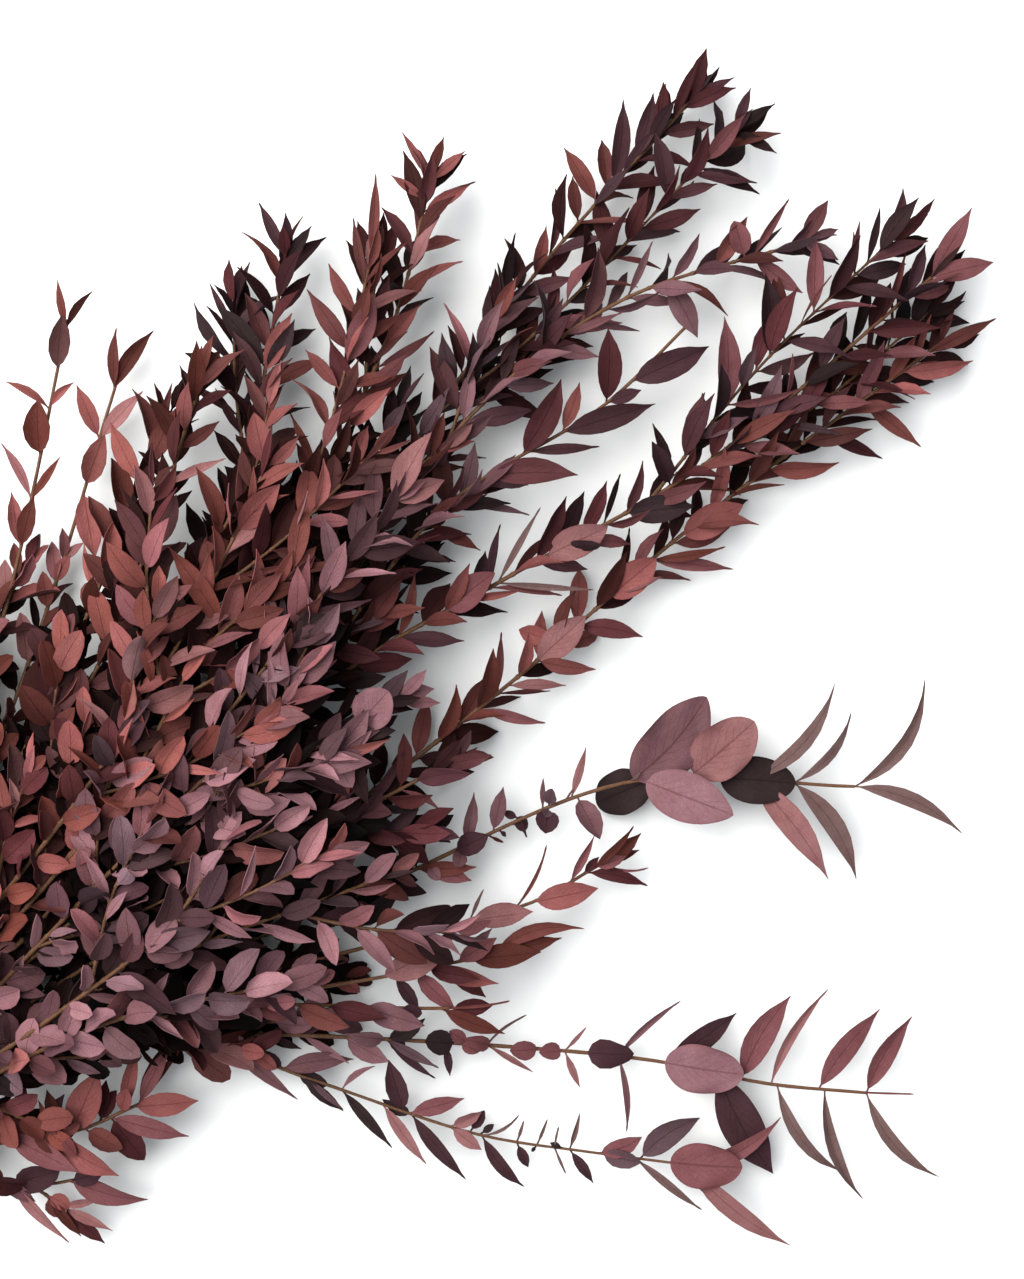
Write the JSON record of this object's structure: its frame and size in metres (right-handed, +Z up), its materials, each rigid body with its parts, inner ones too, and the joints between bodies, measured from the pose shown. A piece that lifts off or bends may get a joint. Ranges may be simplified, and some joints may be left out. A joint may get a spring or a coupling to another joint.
{
  "type": "preserved eucalyptus bunch",
  "caption": "Tied bunch of preserved parvifolia eucalyptus, lying down and fanned out flat: bare stem ends, a tie, and long branches of small paired leaves in dusty red, mauve and plum.",
  "frame": {"origin": "middle of the footprint, on the surface the bunch lies on", "axes": "+X from the cut stem ends to the longest tips, +Y across the fan, to the left of someone above it who faces the tips, +Z up"},
  "size_m": [0.728, 0.5888, 0.0744],
  "materials": {
    "leaf_brick": "matt dry leaf",
    "leaf_mauve": "matt dry leaf",
    "leaf_plum": "matt dry leaf",
    "twine": "matt plain twine"
  },
  "bodies": {
    "root": {"branch_left_outer_low": "leaf_brick", "branch_pink_pairs": "leaf_brick", "branch_long_burgundy": "leaf_plum", "branch_long_pink": "leaf_brick", "branch_large_ovals": "leaf_mauve", "branch_right_sprigs": "leaf_mauve", "branch_left_outer": "leaf_brick", "branch_far_left_pairs": "leaf_brick", "branch_dark_tip": "leaf_plum", "branch_long_mauve": "leaf_mauve", "branch_longest": "leaf_plum", "branch_right_tip": "leaf_brick", "branch_lower_left": "leaf_brick", "branch_left_middle": "leaf_brick", "branch_left_brick": "leaf_brick", "branch_brick_crown": "leaf_brick", "branch_dark_pairs": "leaf_plum", "branch_middle_dark": "leaf_plum", "branch_right_brown": "leaf_brick", "branch_coral": "leaf_brick", "branch_lower_right": "leaf_mauve", "branch_left_inner": "leaf_brick", "branch_left_fork": "leaf_brick", "branch_heart_upper": "leaf_brick", "branch_heart": "leaf_mauve", "branch_heart_right": "leaf_mauve", "branch_right_edge": "leaf_plum", "branch_right_short": "leaf_mauve", "branch_top_coral": "leaf_brick", "branch_top_brick": "leaf_brick", "branch_top_mauve": "leaf_mauve", "branch_top_middle": "leaf_mauve", "branch_top_pale": "leaf_mauve", "branch_top_right": "leaf_mauve", "tie": "twine"}
  },
  "joints": []
}
